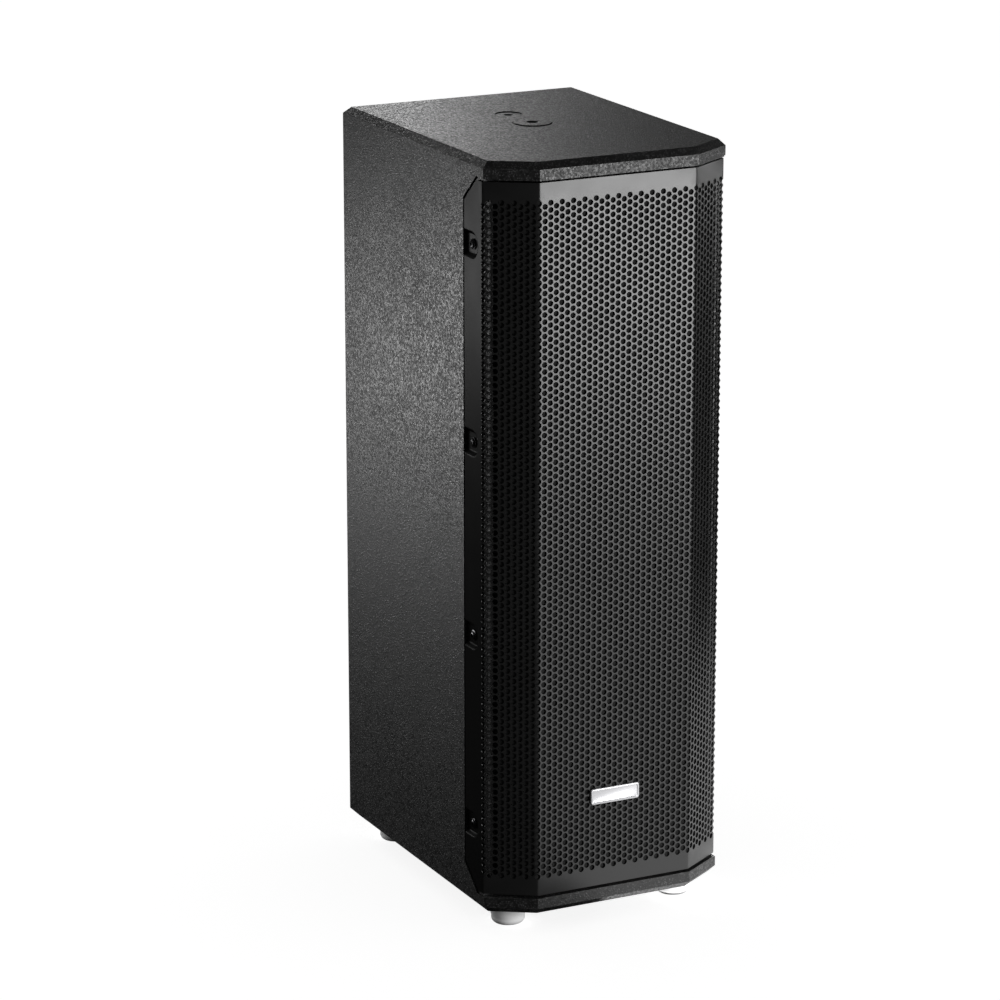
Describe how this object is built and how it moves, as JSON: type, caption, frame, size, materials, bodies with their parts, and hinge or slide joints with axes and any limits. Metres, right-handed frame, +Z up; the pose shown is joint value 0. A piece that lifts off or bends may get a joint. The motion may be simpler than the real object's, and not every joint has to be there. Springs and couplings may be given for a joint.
{
  "type": "column loudspeaker",
  "caption": "Compact powered column loudspeaker: painted box with slanting front corners, perforated steel grille, recessed rear amplifier panel, pole cup and rubber feet.",
  "frame": {"origin": "on the ground under the middle of the cabinet", "axes": "+Z up; the grille faces -Y; +X is to the right for a listener who looks at the grille"},
  "size_m": [0.225, 0.3, 0.6688],
  "materials": {
    "cabinet_paint": "black textured roller-coat paint, fine even grain",
    "bare_plywood": "bare birch plywood",
    "grille_steel": "black powder coat, semi-gloss",
    "foam": "black open-cell acoustic foam",
    "badge_plate": "bright satin plate, bare",
    "dark_steel": "black zinc, bright highlights",
    "rubber": "matte black rubber",
    "zinc_steel": "zinc plated",
    "foot_rubber": "pale grey moulded rubber",
    "insert_steel": "painted with the cabinet, thread bare",
    "cast_frame": "black powder coat on cast metal",
    "motor_steel": "dark phosphated steel",
    "cone_paper": "black coated paper, matte",
    "spider_cloth": "impregnated cotton",
    "black_plastic": "fine moulded texture",
    "titanium": "thin bright foil",
    "black_aluminium": "black anodised",
    "circuit_board": "green solder mask",
    "copper": "enamelled copper winding",
    "socket_plastic": "black glass-filled nylon",
    "red_plastic": "red moulded plastic",
    "knob_plastic": "satin black moulded plastic",
    "led_lens": "clear green lens"
  },
  "bodies": {
    "cabinet": {"top_panel": "cabinet_paint", "bottom_panel": "cabinet_paint", "side_panel_left": "cabinet_paint", "side_panel_right": "cabinet_paint", "rear_panel": "cabinet_paint", "front_baffle": "cabinet_paint", "window_brace": "bare_plywood", "grille": "grille_steel", "pole_cup": "grille_steel", "grille_foam": "foam", "badge": "badge_plate", "grille_screw_left_1": "dark_steel", "grille_screw_left_2": "dark_steel", "grille_screw_left_3": "dark_steel", "grille_screw_left_4": "dark_steel", "grille_screw_right_1": "dark_steel", "grille_screw_right_2": "dark_steel", "grille_screw_right_3": "dark_steel", "grille_screw_right_4": "dark_steel", "foot_front_left": "foot_rubber", "foot_front_right": "foot_rubber", "foot_rear_left": "foot_rubber", "foot_rear_right": "foot_rubber", "fly_insert": "insert_steel", "safety_insert": "insert_steel", "amp_box": "zinc_steel", "upper_woofer_basket": "cast_frame", "upper_woofer_motor": "motor_steel", "upper_woofer_surround": "rubber", "upper_woofer_spider": "spider_cloth", "lower_woofer_basket": "cast_frame", "lower_woofer_motor": "motor_steel", "lower_woofer_surround": "rubber", "lower_woofer_spider": "spider_cloth", "horn": "black_plastic", "horn_driver_cap": "black_plastic", "reflex_port_left": "black_plastic", "reflex_port_right": "black_plastic", "horn_driver": "motor_steel", "amp_plate": "black_aluminium", "heat_sink": "black_aluminium", "power_board": "circuit_board", "signal_board": "circuit_board", "power_transformer": "copper", "input_socket": "socket_plastic", "link_socket": "socket_plastic", "power_inlet": "socket_plastic", "switch_body": "socket_plastic", "volume_pot": "motor_steel", "status_led": "led_lens", "upper_loom": "rubber", "lower_loom": "rubber"},
    "upper_cone": {"upper_woofer_cone": "cone_paper"},
    "lower_cone": {"lower_woofer_cone": "cone_paper"},
    "horn_diaphragm": {"horn_diaphragm": "titanium"},
    "volume_knob": {"volume_knob": "knob_plastic"},
    "power_rocker": {"power_rocker": "knob_plastic"},
    "filter_button": {"filter_button": "knob_plastic"},
    "lift_button": {"lift_button": "knob_plastic"},
    "input_latch": {"input_latch": "red_plastic"}
  },
  "joints": [
    {"name": "upper_cone_travel", "type": "slide", "parent": "cabinet", "child": "upper_cone", "axis": [0, -1, 0], "range_m": [-0.004, 0.004], "stiffness_N_per_m": 2200},
    {"name": "lower_cone_travel", "type": "slide", "parent": "cabinet", "child": "lower_cone", "axis": [0, -1, 0], "range_m": [-0.004, 0.004], "stiffness_N_per_m": 2200},
    {"name": "diaphragm_travel", "type": "slide", "parent": "cabinet", "child": "horn_diaphragm", "axis": [0, -1, 0], "range_m": [-0.0003, 0.0003], "stiffness_N_per_m": 14000},
    {"name": "volume_turn", "type": "hinge", "parent": "cabinet", "child": "volume_knob", "pos_m": [0.05, 0.1308, 0.253], "axis": [0, 1, 0], "range_deg": [-150, 150]},
    {"name": "power_rock", "type": "hinge", "parent": "cabinet", "child": "power_rocker", "pos_m": [-0.04, 0.129, 0.133], "axis": [0, 0, 1], "range_deg": [-14, 0]},
    {"name": "filter_press", "type": "slide", "parent": "cabinet", "child": "filter_button", "axis": [0, -1, 0], "range_m": [0, 0.0025], "stiffness_N_per_m": 300},
    {"name": "lift_press", "type": "slide", "parent": "cabinet", "child": "lift_button", "axis": [0, -1, 0], "range_m": [0, 0.0025], "stiffness_N_per_m": 300},
    {"name": "latch_press", "type": "slide", "parent": "cabinet", "child": "input_latch", "axis": [0, -1, 0], "range_m": [0, 0.002], "stiffness_N_per_m": 400}
  ]
}
